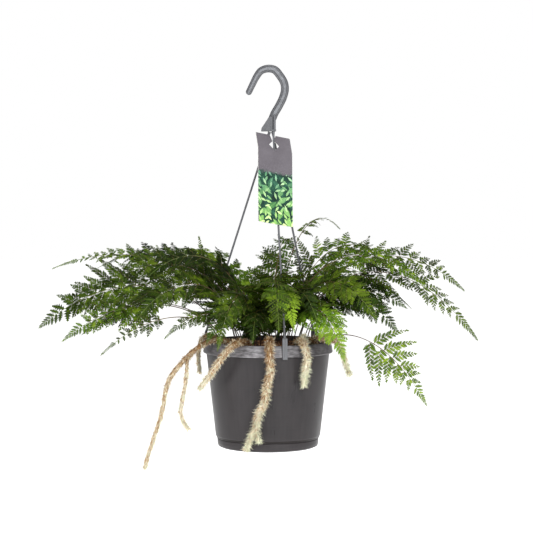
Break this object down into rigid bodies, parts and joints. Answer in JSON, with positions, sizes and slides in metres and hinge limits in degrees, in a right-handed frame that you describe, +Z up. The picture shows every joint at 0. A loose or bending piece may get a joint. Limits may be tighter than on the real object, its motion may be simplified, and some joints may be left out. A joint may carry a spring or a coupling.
{
  "type": "hanging potted fern",
  "caption": "Lacy arching fern with hairy creeping rhizomes that spill over a round tapered pot, hung by slim rods from a hook.",
  "frame": {"origin": "the point inside the hook that bears on the rail it hangs from, above the middle of the pot", "axes": "+Z up along the pot's axis and the hook's pull, -Y towards the front, +X to the right, as seen in the picture"},
  "size_m": [0.6001, 0.4386, 0.5516],
  "materials": {
    "pot_plastic": "satin",
    "hanger_plastic": "satin",
    "label_card": "coated print",
    "potting_mix": "rough",
    "rhizome_scales": "hairy",
    "frond_dark": "waxy",
    "frond_mid": "waxy",
    "frond_bright": "waxy",
    "frond_pale": "waxy"
  },
  "bodies": {
    "root": {"pot": "pot_plastic", "potting_mix": "potting_mix", "hanger_hook": "hanger_plastic", "hanger_arm_front": "hanger_plastic", "hanger_arm_right": "hanger_plastic", "hanger_arm_left": "hanger_plastic", "label": "label_card", "rhizome_left_long": "rhizome_scales", "rhizome_front_left": "rhizome_scales", "rhizome_front": "rhizome_scales", "rhizome_front_right": "rhizome_scales", "rhizome_right_arch": "rhizome_scales", "rhizome_bud": "rhizome_scales", "rhizome_back_left": "rhizome_scales", "frond_01": "frond_bright", "frond_02": "frond_dark", "frond_03": "frond_mid", "frond_04": "frond_bright", "frond_05": "frond_dark", "frond_06": "frond_mid", "frond_07": "frond_mid", "frond_08": "frond_mid", "frond_09": "frond_bright", "frond_10": "frond_pale", "frond_11": "frond_mid", "frond_12": "frond_dark", "frond_13": "frond_mid", "frond_14": "frond_mid", "frond_15": "frond_dark", "frond_16": "frond_dark", "frond_17": "frond_mid", "frond_18": "frond_dark", "frond_19": "frond_bright", "frond_20": "frond_pale", "frond_21": "frond_pale", "frond_22": "frond_dark", "frond_23": "frond_mid", "frond_24": "frond_dark", "frond_25": "frond_bright", "frond_26": "frond_bright", "frond_27": "frond_mid", "frond_28": "frond_dark", "frond_29": "frond_mid", "frond_30": "frond_dark", "frond_31": "frond_bright", "frond_32": "frond_mid", "frond_33": "frond_mid", "frond_34": "frond_dark", "frond_35": "frond_mid", "frond_36": "frond_dark"}
  },
  "joints": []
}
